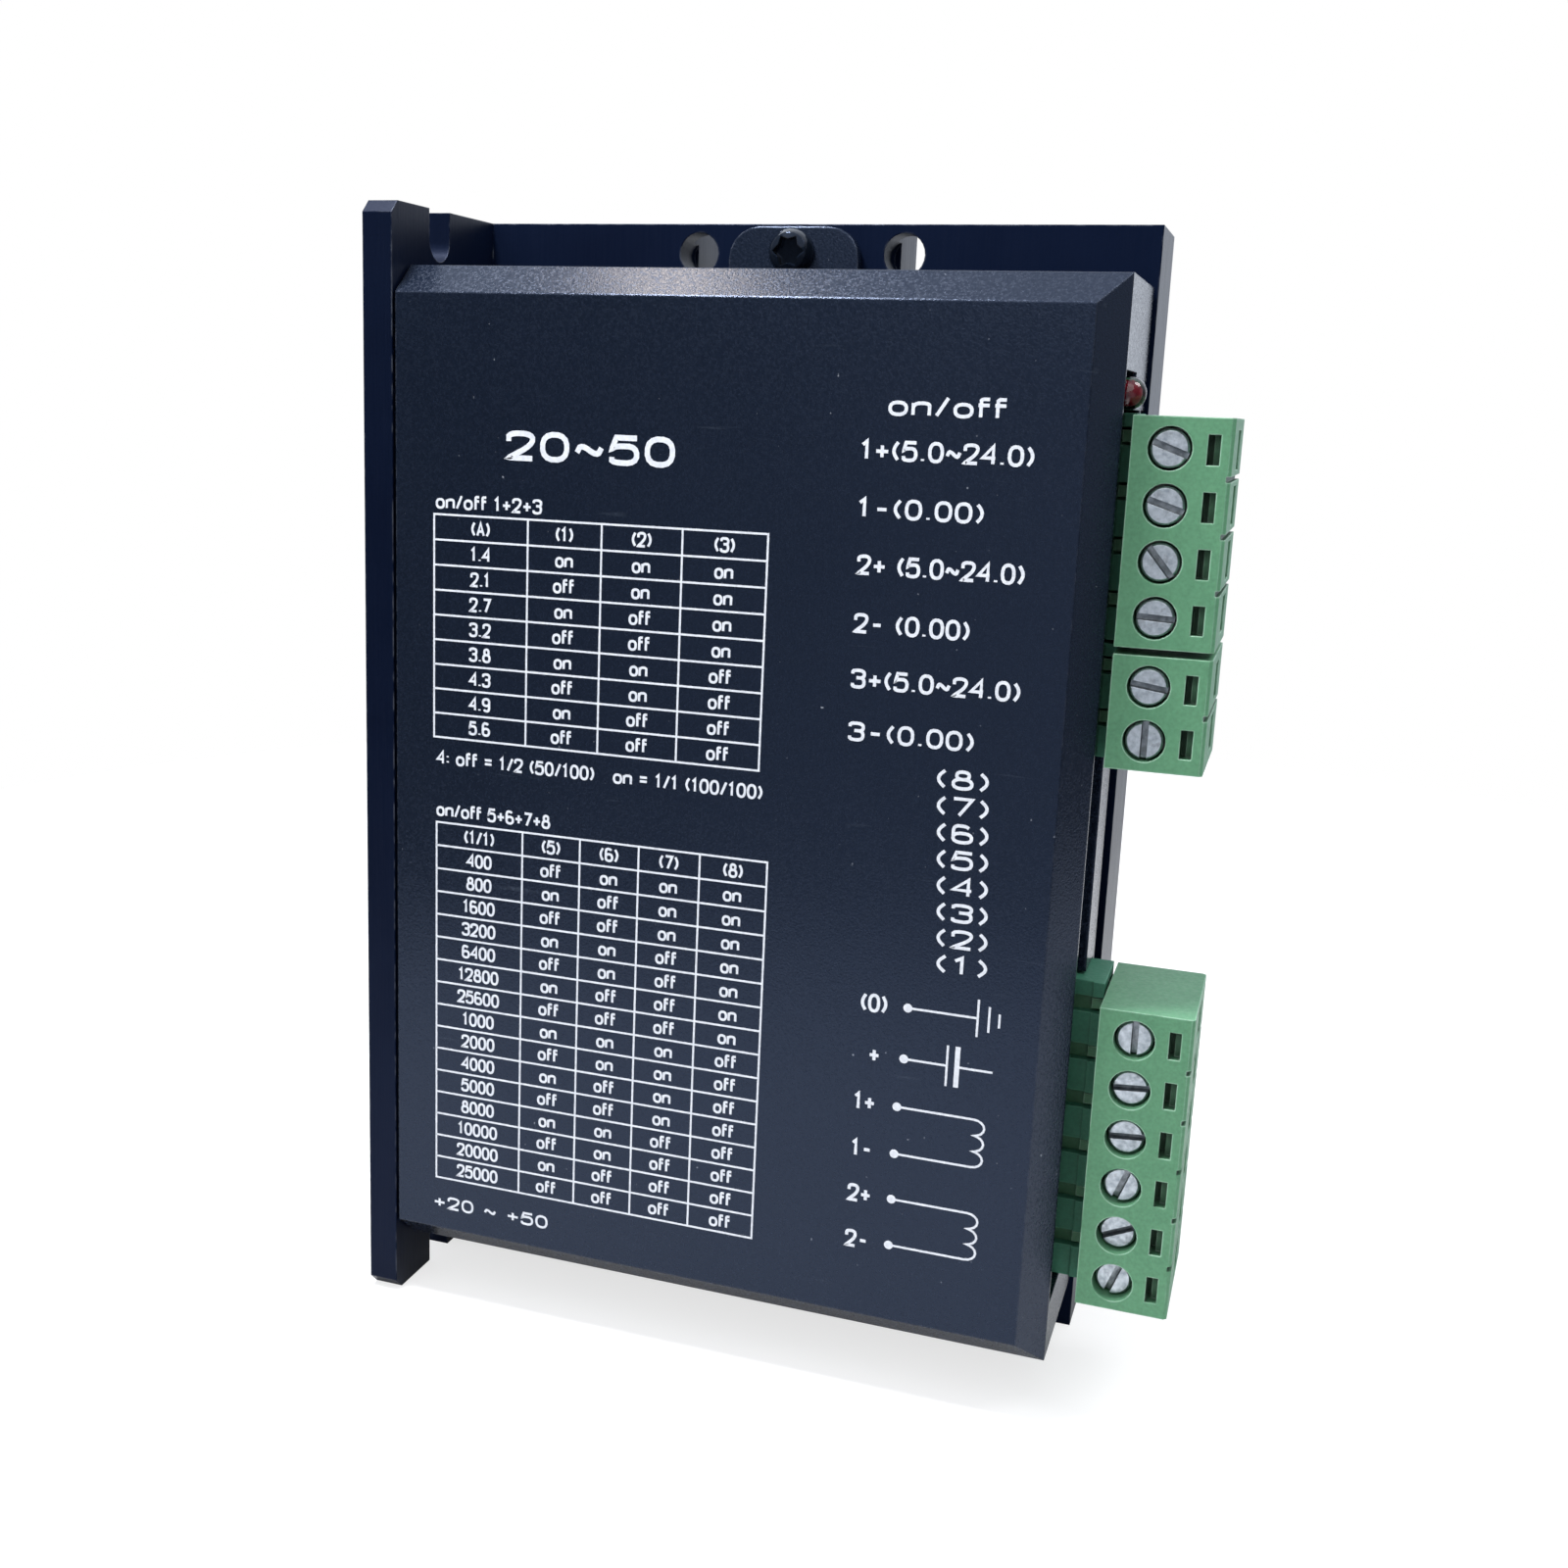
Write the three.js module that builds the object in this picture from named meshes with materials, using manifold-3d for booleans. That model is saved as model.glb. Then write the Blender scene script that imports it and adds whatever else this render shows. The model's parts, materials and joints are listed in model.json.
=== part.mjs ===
// Two-phase stepper motor driver: a finned heat sink with a side wall, a chamfered cover,
// a circuit board with its components, and three pull-off screw terminal plugs.
//
// Millimetres, +Z up along the heat sink's length, cover facing -Y, terminals facing +X.
// Everything is laid out from the outer front corner of the heat sink's bottom end
// (X to the right, Y to the back), then the whole is moved so that the middle of its
// bottom is the origin.

import * as THREE from 'three';
import { mergeVertices } from 'three/addons/utils/BufferGeometryUtils.js';
import Module from 'manifold-3d';

const wasm = await Module();
wasm.setup();

// ---------------------------------------------------------------- driving dimensions

const GAP = 0.3;             // clearance between pieces that touch on the real object
const OVERLAP = 0.1;         // how far a cut runs past the face it opens

// Heat sink: an L-shaped extrusion, a side wall and a finned base plate.
const LENGTH = 118;
const WIDTH = 75.9;
const DEPTH = 34;
const WALL = 3.3;
const PLATE_FRONT = 22.2;    // Y of the plate's front face
const PLATE = 3;
const FIN_COUNT = 16;
const FIN_THICK = 1.5;
const FIN_TIP_CHAMFER = 0.3;
const WALL_CORNER = 1.2;     // chamfer at the ends of the wall's front edge
const HOLE_SPACING = 112;    // between the mounting holes at the two ends
const HOLE_R = 2.15;
const HOLE_OVERRUN = 1.5;    // how far the drill nicks the fins behind the plate
const HOLE_XS = [27.7, 50.1];
const NOTCH_R = 2.2;
const NOTCH_Y = 9.9;
const BLIND_MARGIN = 0.5;   // metal left behind the board screws' blind holes

// Cover: a shell over the board, closed on the left by the heat sink's wall.
const COVER_FRONT = 0.1;
const COVER_RIGHT = 75.5;
const COVER_LENGTH = 106;
const COVER_THICK = 1.6;
const CHAMFER_DEPTH = 3.2;   // along Y, on all three chamfers
const CHAMFER_END = 2.8;     // along Z, at the top and bottom
const CHAMFER_SIDE = 2.6;    // along X, at the right
const SIDE_BACK = 21.85;      // back edge of the side wall at its two ends
const SIDE_BACK_MID = 18.6;  // and along the connectors
const WINDOW_FRONT = 3.7;
const SOCKET_WINDOW_BACK = 17.6;
const SWITCH_WINDOW_BACK = 11.8;
const LIGHT_WINDOW = { back: 12, top: 103.65 };  // above the upper socket window
const TAB_WIDTH = 14;
const TAB_LENGTH = 5.6;
const TAB_THICK = 1.3;
const TAB_CORNER = 3.2;
const SCREW_X = 38.65;       // cover screws, in the middle of the two tabs
const COVER_SCREW = { headR: 2.3, headHeight: 1.8, shankLength: 5, lobes: 6 };
const STAR = { tipR: 0.73, rootR: 0.52, depth: 0.6 };  // shares of the head's radius and height
const PAN_HEAD = [[0.5, 1], [0.82, 0.85], [1, 0.45]];    // [radius, height] shares, top to rim
const SCREW_R = 1.2;         // shank of the cover and board screws
const SCREW_HOLE_R = 1.6;

// Circuit board.
const BOARD_FRONT = 17.9;
const BOARD_THICK = 1.6;
const BOARD_XS = [6, 73.2];
const BOARD_ZS = [8.2, 109.8];
const BOARD_SCREW_XS = [11, 60];
const BOARD_SCREW_ZS = [13, 105];

// Screw terminals, 5.08 mm pitch: a header on the board and a plug pushed into it.
const PITCH = 5.08;
const PLUG_FRONT = 3.6;
const PLUG_BACK = 18.8;
const PLUG_WIDTH = 8.95;
const PLUG_BEVEL = 0.3;
const WAY_GROOVE = { width: 0.5, depth: 0.4 };  // between the wire entries, along Y
const PLUG_END = 2.85;       // from the last screw's centre to the plug's end
const PLUG_SCREW_X = 3.45;   // from the plug's left face to the screws
const NOSE_LENGTH = 7.2;
const NOSE_Y = [11.2, 16.4];
const NOSE_END = 1.45;
const HEADER_FRONT = 9.9;
const HEADER_DEPTH = 9.8;
const HEADER_WALL = 1;
const HEADER_BACK_WALL = 0.8;
const HEADER_RIM = { length: 1.1, rise: 0.25 };  // a proud band round the header's mouth
const SOCKET_SLACK = 0.8;    // from the plug's nose to the bottom of the header
const KEY_LENGTH = 5;
const KEY_WIDTH = 1.7;
const KEY_RISE = 0.9;        // key slots sit this far above the screws' centres
const KEY_RIB = { length: 1.5, width: 1.1, front: 10.3 };  // on the plug, in each key slot
const CONNECTORS = [
  { name: 'signal', ways: 4, firstZ: 96.9, plugX: 76.4, headerEnd: 3.0 },
  { name: 'enable', ways: 2, firstZ: 75.3, plugX: 76.4, headerEnd: 3.0 },
  { name: 'power', ways: 6, firstZ: 41.1, plugX: 78.0, headerEnd: 3.3 },
];

// Clamp in each way: a screw that turns in place and a cage that it raises.
const BORE_R = 1.98;
const HEAD_R = 1.76;
const HEAD_FRONT = 3.75;
const HEAD_HEIGHT = 1.6;
const HEAD_BEVEL = 0.2;
const SLOT_WIDTH = 0.62;
const SLOT_DEPTH = 0.95;
const SHANK_R = 1.15;
const SHANK_END = 11;
const CAVITY = { halfX: 2.35, halfZ: 2.1, y: [6, 15.9] };
const CAGE = { halfX: 2.05, halfZ: 1.8, y: [9.6, 14.8], wall: 0.8, holeR: 1.45 };
const ENTRY = { halfZ: 1.8, y: [10.2, 14.2] };
const TEST_SLOT = { x: [6.72, 7.82], halfZ: 1.35, depth: 1.1, deepEnd: 7.22, deep: 2.2 };
const PIN_HOLE = 1.7;
// Angle of each screw's slot, in degrees from the X axis, top screw first.
const SLOT_ANGLES = [-20, -18, -50, -3, -8, 90, 90, 5, 5, 70, 25, 70];
// How far each head is sunk below the others' level, in the same order.
const HEAD_INSETS = [0, 0, 0.1, 0, 0, 0.1, 0.4, 0.5, 0.6, 0.6, 0.8, 0.9];

// Switch block.
const SWITCH = { z: 55.85, length: 21.6, y: [7.9, 17.6], x: [67.7, 73.5], ways: 8, pitch: 2.54 };
const LEVER = {
  y: 10.6, halfY: 0.55, halfZ: 0.45, top: 74.5, base: 71.8, slope: 0.15, groove: 0.2,
};
const LEVER_SLOT = { y: [8.4, 11.4], halfZ: 0.68, depth: 2 };

// Status light.
const LED = { y: 7, z: 101.65, r: 1.5, flangeR: 1.9, base: 69.5, flange: 1, tip: 77.1 };

// Inner components.
const CAPACITOR = { r: 6, length: 20, xs: [22, 37], z: 72, y: 11.2, edge: 0.6, groove: [2, 2.8, 3.6] };
const CONTROLLER = { size: 10, thick: 1.4, x: 36, z: 36, corner: 1 };
const DRIVER_CHIP = { width: 14, height: 12, thick: 1.3, x: 36, zs: [50, 74], corner: 0.6 };
const THERMAL_PAD = { width: 18, height: 42, thick: 0.6, x: 36, z: 62 };
const SPACER_R = 2.8;
const BOARD_SCREW = { headR: 2.4, headHeight: 1.6, shankLength: 6.2 };

// Facets around a full circle.
const FINE = 24;
const COARSE = 14;

// ------------------------------------------------------------------------- materials

const material = (color, roughness, metalness) =>
  new THREE.MeshStandardMaterial({ color, roughness, metalness });

const MATERIALS = {
  anodised: material(0x1c212b, 0.45, 0.6),
  cover: material(0x222b3a, 0.55, 0),
  terminal: material(0x4e8f66, 0.45, 0),
  header: material(0x2f6d4c, 0.5, 0),
  steel: material(0xb9bcc2, 0.35, 1),
  black: material(0x15161a, 0.4, 0.2),
  board: material(0x1d5a38, 0.5, 0),
  lever: material(0xe8e8e4, 0.5, 0),
  red: material(0x9a1820, 0.2, 0),
  chip: material(0x232325, 0.6, 0),
  sleeve: material(0x20304f, 0.4, 0),
  pad: material(0xc9cdd0, 0.9, 0),
  brass: material(0xb08d57, 0.4, 1),
};

// ------------------------------------------------------------------ geometry helpers

// A closed three.js geometry as a manifold solid.
function solid(geometry) {
  const bare = geometry.clone();
  bare.deleteAttribute('normal');
  bare.deleteAttribute('uv');
  const merged = mergeVertices(bare, 1e-4);
  return new wasm.Manifold(new wasm.Mesh({
    numProp: 3,
    vertProperties: new Float32Array(merged.attributes.position.array),
    triVerts: new Uint32Array(merged.index.array),
  }));
}

// A manifold solid back as a three.js geometry.
function geometryOf(manifold) {
  const mesh = manifold.getMesh();
  const geometry = new THREE.BufferGeometry();
  geometry.setAttribute('position', new THREE.BufferAttribute(mesh.vertProperties, 3));
  geometry.setIndex(new THREE.BufferAttribute(mesh.triVerts, 1));
  geometry.computeVertexNormals();
  return geometry;
}

const cut = (base, tools) => tools.reduce((body, tool) => body.subtract(solid(tool)), base);
const join = (base, extras) => extras.reduce((body, extra) => body.add(solid(extra)), base);

// An axis-aligned block between two values on each axis.
function block([x0, x1], [y0, y1], [z0, z1]) {
  const geometry = new THREE.BoxGeometry(x1 - x0, y1 - y0, z1 - z0);
  return geometry.translate((x0 + x1) / 2, (y0 + y1) / 2, (z0 + z1) / 2);
}

const shapeOf = (points) => new THREE.Shape(points.map(([u, v]) => new THREE.Vector2(u, v)));

// An outline in the XY plane, extruded from z0 to z1.
function prismZ(points, [z0, z1]) {
  const geometry = new THREE.ExtrudeGeometry(shapeOf(points), { depth: z1 - z0, bevelEnabled: false });
  return geometry.translate(0, 0, z0);
}

// An outline given as [y, z] points, extruded from x0 to x1.
function prismX(points, [x0, x1]) {
  const geometry = new THREE.ExtrudeGeometry(shapeOf(points), { depth: x1 - x0, bevelEnabled: false });
  const toYZ = new THREE.Matrix4().makeBasis(
    new THREE.Vector3(0, 1, 0), new THREE.Vector3(0, 0, 1), new THREE.Vector3(1, 0, 0));
  return geometry.applyMatrix4(toYZ).translate(x0, 0, 0);
}

// An outline given as [x, z] points, extruded from y0 to y1.
function prismY(points, [y0, y1]) {
  const geometry = new THREE.ExtrudeGeometry(shapeOf(points), { depth: y1 - y0, bevelEnabled: false });
  return geometry.rotateX(Math.PI / 2).translate(0, y1, 0);
}

// A round rod along Y.
function rodY(radius, [y0, y1], x, z, facets = COARSE) {
  const geometry = new THREE.CylinderGeometry(radius, radius, y1 - y0, facets);
  return geometry.translate(x, (y0 + y1) / 2, z);
}

// A turned piece about the Y axis: profile points are [radius, y], in rising y on the outside.
function turnedY(profile, x, z, facets = COARSE) {
  const points = profile.map(([r, y]) => new THREE.Vector2(r, y));
  return new THREE.LatheGeometry(points, facets).translate(x, 0, z);
}

// Points of an arc in a plane, both ends included.
function arc(cx, cy, radius, fromDegrees, toDegrees, steps) {
  return Array.from({ length: steps + 1 }, (_, i) => {
    const angle = THREE.MathUtils.degToRad(fromDegrees + ((toDegrees - fromDegrees) * i) / steps);
    return [cx + radius * Math.cos(angle), cy + radius * Math.sin(angle)];
  });
}

// A rectangle with its four corners cut off.
const clippedRectangle = ([u0, u1], [v0, v1], clip) => [
  [u0 + clip, v0], [u1 - clip, v0], [u1, v0 + clip], [u1, v1 - clip],
  [u1 - clip, v1], [u0 + clip, v1], [u0, v1 - clip], [u0, v0 + clip],
];

const centred = (middle, length) => [middle - length / 2, middle + length / 2];

// -------------------------------------------------------------------------- assembly

const driver = new THREE.Group();
const totalWidth = Math.max(...CONNECTORS.map((c) => c.plugX)) + PLUG_WIDTH;
driver.position.set(-totalWidth / 2, -DEPTH / 2, 0);

function addPiece(name, body, materialName) {
  const geometry = body.isBufferGeometry ? body : geometryOf(body);
  const mesh = new THREE.Mesh(geometry, MATERIALS[materialName]);
  mesh.name = name;
  driver.add(mesh);
}

// ------------------------------------------------------------------------- heat sink

const endMargin = (LENGTH - HOLE_SPACING) / 2;
const endZs = [endMargin, LENGTH - endMargin];
const plateBack = PLATE_FRONT + PLATE;

// The extrusion's outline: wall on the left, plate across, fins from right to left.
function heatSinkOutline() {
  const finPitch = (WIDTH - WALL) / FIN_COUNT;
  const points = [[0, 0], [WALL, 0], [WALL, PLATE_FRONT], [WIDTH, PLATE_FRONT]];
  for (let i = 0; i < FIN_COUNT; i += 1) {
    const right = WIDTH - i * finPitch;
    const left = right - FIN_THICK;
    points.push([right, DEPTH - FIN_TIP_CHAMFER], [right - FIN_TIP_CHAMFER, DEPTH]);
    points.push([left + FIN_TIP_CHAMFER, DEPTH], [left, DEPTH - FIN_TIP_CHAMFER]);
    points.push([left, plateBack], [right - finPitch, plateBack]);
  }
  points.push([WALL, DEPTH], [0, DEPTH]);
  return points;
}

// The outline of an open-ended slot in the wall, seen along X, for the top or bottom end.
function notchOutline(centreZ, outward) {
  const start = outward > 0 ? 180 : 0;
  const mouth = centreZ + outward * 2 * endMargin;
  return [
    ...arc(NOTCH_Y, centreZ, NOTCH_R, start, start + 180, FINE / 2),
    [NOTCH_Y + outward * NOTCH_R, mouth],
    [NOTCH_Y - outward * NOTCH_R, mouth],
  ];
}

// The triangle cut off each end of the wall's front edge, as [y, z] points.
function wallCorner(endZ, inward) {
  const over = 1;
  const y = WALL_CORNER + over;
  return inward > 0
    ? [[-over, endZ - over], [y, endZ - over], [-over, endZ + y]]
    : [[-over, endZ + over], [-over, endZ - y], [y, endZ + over]];
}

function heatSink() {
  const acrossWall = [-1, WALL + 1];
  const throughPlate = [PLATE_FRONT - 1, plateBack + HOLE_OVERRUN];
  const tools = [
    prismX(notchOutline(endZs[0], -1), acrossWall),
    prismX(notchOutline(endZs[1], 1), acrossWall),
    prismX(wallCorner(0, 1), acrossWall),
    prismX(wallCorner(LENGTH, -1), acrossWall),
  ];
  for (const z of endZs) {
    for (const x of HOLE_XS) {
      tools.push(rodY(HOLE_R, throughPlate, x, z, FINE));
    }
    tools.push(rodY(SCREW_HOLE_R, throughPlate, SCREW_X, z));
  }
  for (const z of BOARD_SCREW_ZS) {
    for (const x of BOARD_SCREW_XS) {
      tools.push(rodY(SCREW_HOLE_R, [PLATE_FRONT - 1, plateBack - BLIND_MARGIN], x, z));
    }
  }
  return cut(solid(prismZ(heatSinkOutline(), [0, LENGTH])), tools);
}

addPiece('heat_sink', heatSink(), 'anodised');

// ----------------------------------------------------------------------------- cover

const coverZs = centred(LENGTH / 2, COVER_LENGTH);
const coverLeft = WALL + GAP;
const coverBack = PLATE_FRONT - GAP;

// The chamfered block that bounds the cover, shrunk on every face by an inset.
function coverBlock(inset) {
  const front = COVER_FRONT + inset;
  const [bottom, top] = [coverZs[0] + inset, coverZs[1] - inset];
  const right = COVER_RIGHT - inset;
  const past = inset > 0 ? 1 : 0;
  const left = coverLeft - past;
  const back = coverBack + past;
  const shoulder = front + CHAMFER_DEPTH;
  const side = [
    [shoulder, bottom], [back, bottom], [back, top], [shoulder, top],
    [front, top - CHAMFER_END], [front, bottom + CHAMFER_END],
  ];
  const plan = [
    [left, front], [right - CHAMFER_SIDE, front], [right, shoulder], [right, back], [left, back],
  ];
  return solid(prismX(side, [left, right])).intersect(solid(prismZ(plan, [bottom, top])));
}

// The tab that lies on the plate past one end of the cover, with rounded outer corners.
function coverTab(endZ, outward) {
  const [left, right] = centred(SCREW_X, TAB_WIDTH);
  const inner = endZ - outward * COVER_THICK;
  const tip = endZ + outward * TAB_LENGTH;
  const turn = outward * 90;
  const corner = tip - outward * TAB_CORNER;
  return prismY([
    [left, inner], [right, inner],
    ...arc(right - TAB_CORNER, corner, TAB_CORNER, 0, turn, 5),
    ...arc(left + TAB_CORNER, corner, TAB_CORNER, turn, 2 * turn, 5),
  ], [coverBack - TAB_THICK, coverBack]);
}

const lastZ = (connector) => connector.firstZ - (connector.ways - 1) * PITCH;
const headerZs = (connector) => [
  lastZ(connector) - connector.headerEnd, connector.firstZ + connector.headerEnd,
];

// The openings in the side wall: both rows of headers, the switches and the status light.
function coverWindows() {
  const [signal, enable, power] = CONNECTORS.map(headerZs);
  const throughSide = [COVER_RIGHT - COVER_THICK - 1, COVER_RIGHT + 1];
  const [top, upperEnd] = [signal[1], enable[0]];
  const [lowerStart, bottom] = [power[1], power[0]];
  const full = [WINDOW_FRONT, SOCKET_WINDOW_BACK];
  return [
    block(throughSide, full, [upperEnd - GAP, top + GAP]),
    block(throughSide, full, [bottom - GAP, lowerStart + GAP]),
    block(throughSide, [WINDOW_FRONT, SWITCH_WINDOW_BACK], [lowerStart, upperEnd]),
    block(throughSide, [SIDE_BACK_MID, PLATE_FRONT], [bottom - GAP, top + GAP]),
    block(throughSide, [SIDE_BACK, PLATE_FRONT],
      [coverZs[0] + COVER_THICK, coverZs[1] - COVER_THICK]),
    block(throughSide, [WINDOW_FRONT, LIGHT_WINDOW.back], [top, LIGHT_WINDOW.top]),
  ];
}

function cover() {
  const shell = coverBlock(0).subtract(coverBlock(COVER_THICK));
  const tabs = [coverTab(coverZs[1], 1), coverTab(coverZs[0], -1)];
  const holes = endZs.map((z) => rodY(SCREW_HOLE_R, [0, PLATE_FRONT], SCREW_X, z));
  return cut(join(shell, tabs), [...coverWindows(), ...holes]);
}

addPiece('cover', cover(), 'cover');

// A pan-head screw along Y: its head's underside is at y.
function panScrew(x, z, y, headR, headHeight, shankLength, facets) {
  const dome = PAN_HEAD.map(([across, up]) => [headR * across, y - headHeight * up]);
  const profile = [
    [0, y - headHeight], ...dome, [headR, y], [SCREW_R, y], [SCREW_R, y + shankLength],
    [0, y + shankLength],
  ];
  return turnedY(profile, x, z, facets);
}

// A cover screw, with a six-lobe recess in its head.
function coverScrew(z) {
  const { headR, headHeight, shankLength, lobes } = COVER_SCREW;
  const seat = coverBack - TAB_THICK - GAP;
  const star = Array.from({ length: 2 * lobes }, (_, i) => {
    const radius = headR * (i % 2 === 0 ? STAR.tipR : STAR.rootR);
    const angle = (Math.PI * i) / lobes;
    return [SCREW_X + radius * Math.cos(angle), z + radius * Math.sin(angle)];
  });
  const recess = prismY(star, [seat - headHeight - 1, seat - headHeight * (1 - STAR.depth)]);
  return cut(solid(panScrew(SCREW_X, z, seat, headR, headHeight, shankLength, FINE)), [recess]);
}

addPiece('cover_screw_bottom', coverScrew(endZs[0]), 'black');
addPiece('cover_screw_top', coverScrew(endZs[1]), 'black');

// --------------------------------------------------------------------- circuit board

const boardBack = BOARD_FRONT + BOARD_THICK;

function circuitBoard() {
  const holes = BOARD_SCREW_ZS.flatMap((z) => BOARD_SCREW_XS.map(
    (x) => rodY(SCREW_HOLE_R, [BOARD_FRONT - 1, boardBack + 1], x, z)));
  const outline = clippedRectangle(BOARD_XS, BOARD_ZS, 1);
  return cut(solid(prismY(outline, [BOARD_FRONT, boardBack])), holes);
}

addPiece('circuit_board', circuitBoard(), 'board');

// A ring between the board and the plate, around one board screw.
function spacer(x, z) {
  const [near, far] = [boardBack + GAP, PLATE_FRONT - GAP];
  const ring = [
    [SCREW_HOLE_R, near], [SPACER_R, near], [SPACER_R, far], [SCREW_HOLE_R, far], [SCREW_HOLE_R, near],
  ];
  return turnedY(ring, x, z);
}

BOARD_SCREW_ZS.forEach((z, row) => {
  BOARD_SCREW_XS.forEach((x, column) => {
    const number = 2 * row + column + 1;
    const { headR, headHeight, shankLength } = BOARD_SCREW;
    const screw = panScrew(x, z, BOARD_FRONT - GAP, headR, headHeight, shankLength, COARSE);
    addPiece(`board_spacer_${number}`, spacer(x, z), 'brass');
    addPiece(`board_screw_${number}`, screw, 'steel');
  });
});

// A flat chip package standing off the board on one side, between two Y values.
function chip(x, z, width, height, corner, ys) {
  return prismY(clippedRectangle(centred(x, width), centred(z, height), corner), ys);
}

const controllerBack = BOARD_FRONT - GAP;
addPiece('controller_chip', chip(CONTROLLER.x, CONTROLLER.z, CONTROLLER.size, CONTROLLER.size,
  CONTROLLER.corner, [controllerBack - CONTROLLER.thick, controllerBack]), 'chip');

const driverFront = boardBack + GAP / 2;
DRIVER_CHIP.zs.forEach((z, i) => {
  addPiece(`phase_driver_${'ab'[i]}`, chip(DRIVER_CHIP.x, z, DRIVER_CHIP.width, DRIVER_CHIP.height,
    DRIVER_CHIP.corner, [driverFront, driverFront + DRIVER_CHIP.thick]), 'chip');
});

const padFront = driverFront + DRIVER_CHIP.thick + GAP / 2;
addPiece('thermal_pad', chip(THERMAL_PAD.x, THERMAL_PAD.z, THERMAL_PAD.width, THERMAL_PAD.height,
  1, [padFront, padFront + THERMAL_PAD.thick]), 'pad');

// An electrolytic can lying along Z, with the groove rolled in near its lead end.
function capacitor(x) {
  const { r, length, z, y, edge, groove } = CAPACITOR;
  const neck = r - edge;
  const profile = [
    [0, 0], [neck, 0], [r, edge], [r, groove[0]], [neck, groove[1]], [r, groove[2]],
    [r, length - edge], [neck, length], [0, length],
  ];
  return turnedY(profile, 0, 0, FINE).rotateX(Math.PI / 2).translate(x, y, z);
}

CAPACITOR.xs.forEach((x, i) => addPiece(`bulk_capacitor_${i + 1}`, capacitor(x), 'sleeve'));

// A round-nosed light along X, with the flange at its base.
function statusLight() {
  const dome = arc(0, LED.tip - LED.base - LED.r, LED.r, 0, 90, 5).slice(0, -1);
  const profile = [
    [0, 0], [LED.flangeR, 0], [LED.flangeR, LED.flange], [LED.r, LED.flange],
    ...dome, [0, LED.tip - LED.base],
  ];
  return turnedY(profile, 0, 0, FINE).rotateZ(-Math.PI / 2).translate(LED.base, LED.y, LED.z);
}

addPiece('status_light', statusLight(), 'red');

// ---------------------------------------------------------------------- switch block

const leverZs = Array.from({ length: SWITCH.ways },
  (_, i) => SWITCH.z + (i - (SWITCH.ways - 1) / 2) * SWITCH.pitch);

function switchBody() {
  const face = SWITCH.x[1];
  const slots = leverZs.map((z) => block(
    [face - LEVER_SLOT.depth, face + 1], LEVER_SLOT.y, centred(z, 2 * LEVER_SLOT.halfZ)));
  return cut(solid(block(SWITCH.x, SWITCH.y, centred(SWITCH.z, SWITCH.length))), slots);
}

// A lever: a block with sloped ends and a finger groove across its top, as [x, y] points.
function switchLever(z) {
  const { y, halfY, top, base, halfZ, slope, groove } = LEVER;
  const outline = [
    [base, y - halfY], [top - slope, y - halfY], [top, y - halfY + slope], [top, y - groove],
    [top - groove, y], [top, y + groove], [top, y + halfY - slope], [top - slope, y + halfY],
    [base, y + halfY],
  ];
  return prismZ(outline, [z - halfZ, z + halfZ]);
}

addPiece('switch_body', switchBody(), 'black');
leverZs.forEach((z, i) => addPiece(`switch_lever_${i + 1}`, solid(switchLever(z)), 'lever'));

// ----------------------------------------------------------------- headers and plugs

const wayZs = (connector) => Array.from({ length: connector.ways },
  (_, i) => connector.firstZ - i * PITCH);

// The socket on the board: a box open to the right, with a rim round its mouth and a key
// slot per way in its front.
function header(connector) {
  const mouth = connector.plugX - GAP;
  const floor = mouth - NOSE_LENGTH - SOCKET_SLACK;
  const back = BOARD_FRONT - GAP;
  const [low, high] = headerZs(connector);
  const outer = solid(block([mouth - HEADER_DEPTH, mouth], [HEADER_FRONT, back], [low, high]));
  const inside = [HEADER_FRONT + HEADER_WALL, back - HEADER_BACK_WALL];
  const rim = block([mouth - HEADER_RIM.length, mouth],
    [HEADER_FRONT - HEADER_RIM.rise, HEADER_FRONT + OVERLAP], [low, high]);
  const hollow = block([floor, mouth + 1], inside, [low + HEADER_WALL, high - HEADER_WALL]);
  const keys = wayZs(connector).map((z) => block([mouth - KEY_LENGTH, mouth + 1],
    [HEADER_FRONT - 1, inside[0] + OVERLAP], centred(z + KEY_RISE, KEY_WIDTH)));
  return cut(join(outer, [rim]), [hollow, ...keys]);
}

// The openings of one way in a plug: bore, clamp cavity, wire entry, test slot, pin hole.
function wayOpenings(x, z) {
  const screwX = x + PLUG_SCREW_X;
  const across = centred(z, 2 * CAVITY.halfZ);
  const testZs = centred(z, 2 * TEST_SLOT.halfZ);
  const pinY = (NOSE_Y[0] + NOSE_Y[1]) / 2;
  return [
    rodY(BORE_R, [PLUG_FRONT - 1, CAVITY.y[0] + OVERLAP], screwX, z, FINE),
    block(centred(screwX, 2 * CAVITY.halfX), CAVITY.y, across),
    block([screwX, x + PLUG_WIDTH + 1], ENTRY.y, centred(z, 2 * ENTRY.halfZ)),
    block(TEST_SLOT.x.map((u) => x + u), [PLUG_FRONT - 1, PLUG_FRONT + TEST_SLOT.depth], testZs),
    block([x + TEST_SLOT.x[0], x + TEST_SLOT.deepEnd], [PLUG_FRONT, PLUG_FRONT + TEST_SLOT.deep],
      testZs),
    block([x - NOSE_LENGTH - 1, screwX], centred(pinY, PIN_HOLE), centred(z, PIN_HOLE)),
  ];
}

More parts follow.
